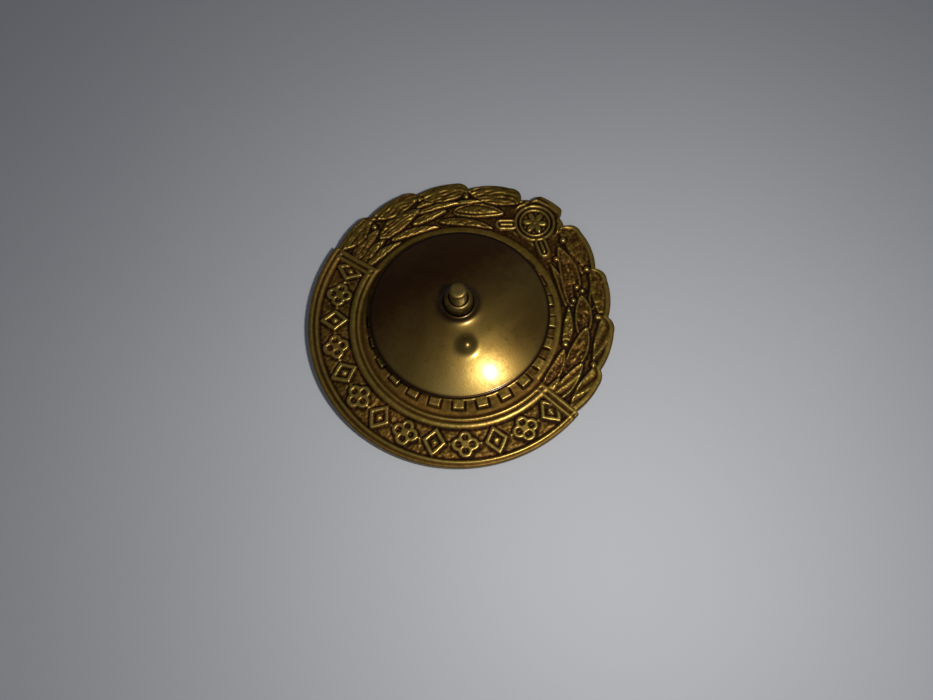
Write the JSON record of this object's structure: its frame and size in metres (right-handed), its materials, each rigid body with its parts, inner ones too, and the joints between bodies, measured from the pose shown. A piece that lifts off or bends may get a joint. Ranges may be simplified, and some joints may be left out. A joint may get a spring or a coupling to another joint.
{
  "type": "cap badge",
  "caption": "Struck brass cap badge with a laurel wreath and ornamented band, threaded back post and domed screw nut.",
  "frame": {"origin": "on the post's axis, at the plane that the front's raised centre rests on", "axes": "+Z along the post, out of the badge's back; +Y towards the badge's top, where the medallion stands; +X to the right seen from the back"},
  "size_m": [0.03, 0.0311, 0.0074],
  "materials": {
    "struck_brass": "die-struck brass, brown patina in the recesses, worn bright on the ridges",
    "nut_brass": "pressed sheet brass, smooth, olive and brown tarnish",
    "turned_brass": "turned brass, dulled",
    "solder": "dull grey soft solder",
    "centre_enamel": "polished vitreous enamel, dark blue",
    "band_enamel": "polished vitreous enamel, dark red"
  },
  "bodies": {
    "badge": {"badge_body": "struck_brass", "centre_enamel": "centre_enamel", "band_enamel": "band_enamel", "medallion_enamel": "centre_enamel", "screw_post": "turned_brass", "post_solder": "solder"},
    "nut_carrier": {"nut_hub": "turned_brass"},
    "nut_disc": {"nut_dome": "nut_brass"}
  },
  "joints": [
    {"name": "nut_travel", "type": "slide", "parent": "badge", "child": "nut_carrier", "axis": [0, 0, 1], "range_m": [-0.00052, 0.00473]},
    {"name": "nut_spin", "type": "hinge", "parent": "nut_carrier", "child": "nut_disc", "pos_m": [0, 0, 0.004], "axis": [0, 0, 1], "range_deg": [-540, 4860]}
  ],
  "couplings": [
    {"joint": "nut_spin", "follows": "nut_travel", "rad_per_m": 17952}
  ]
}
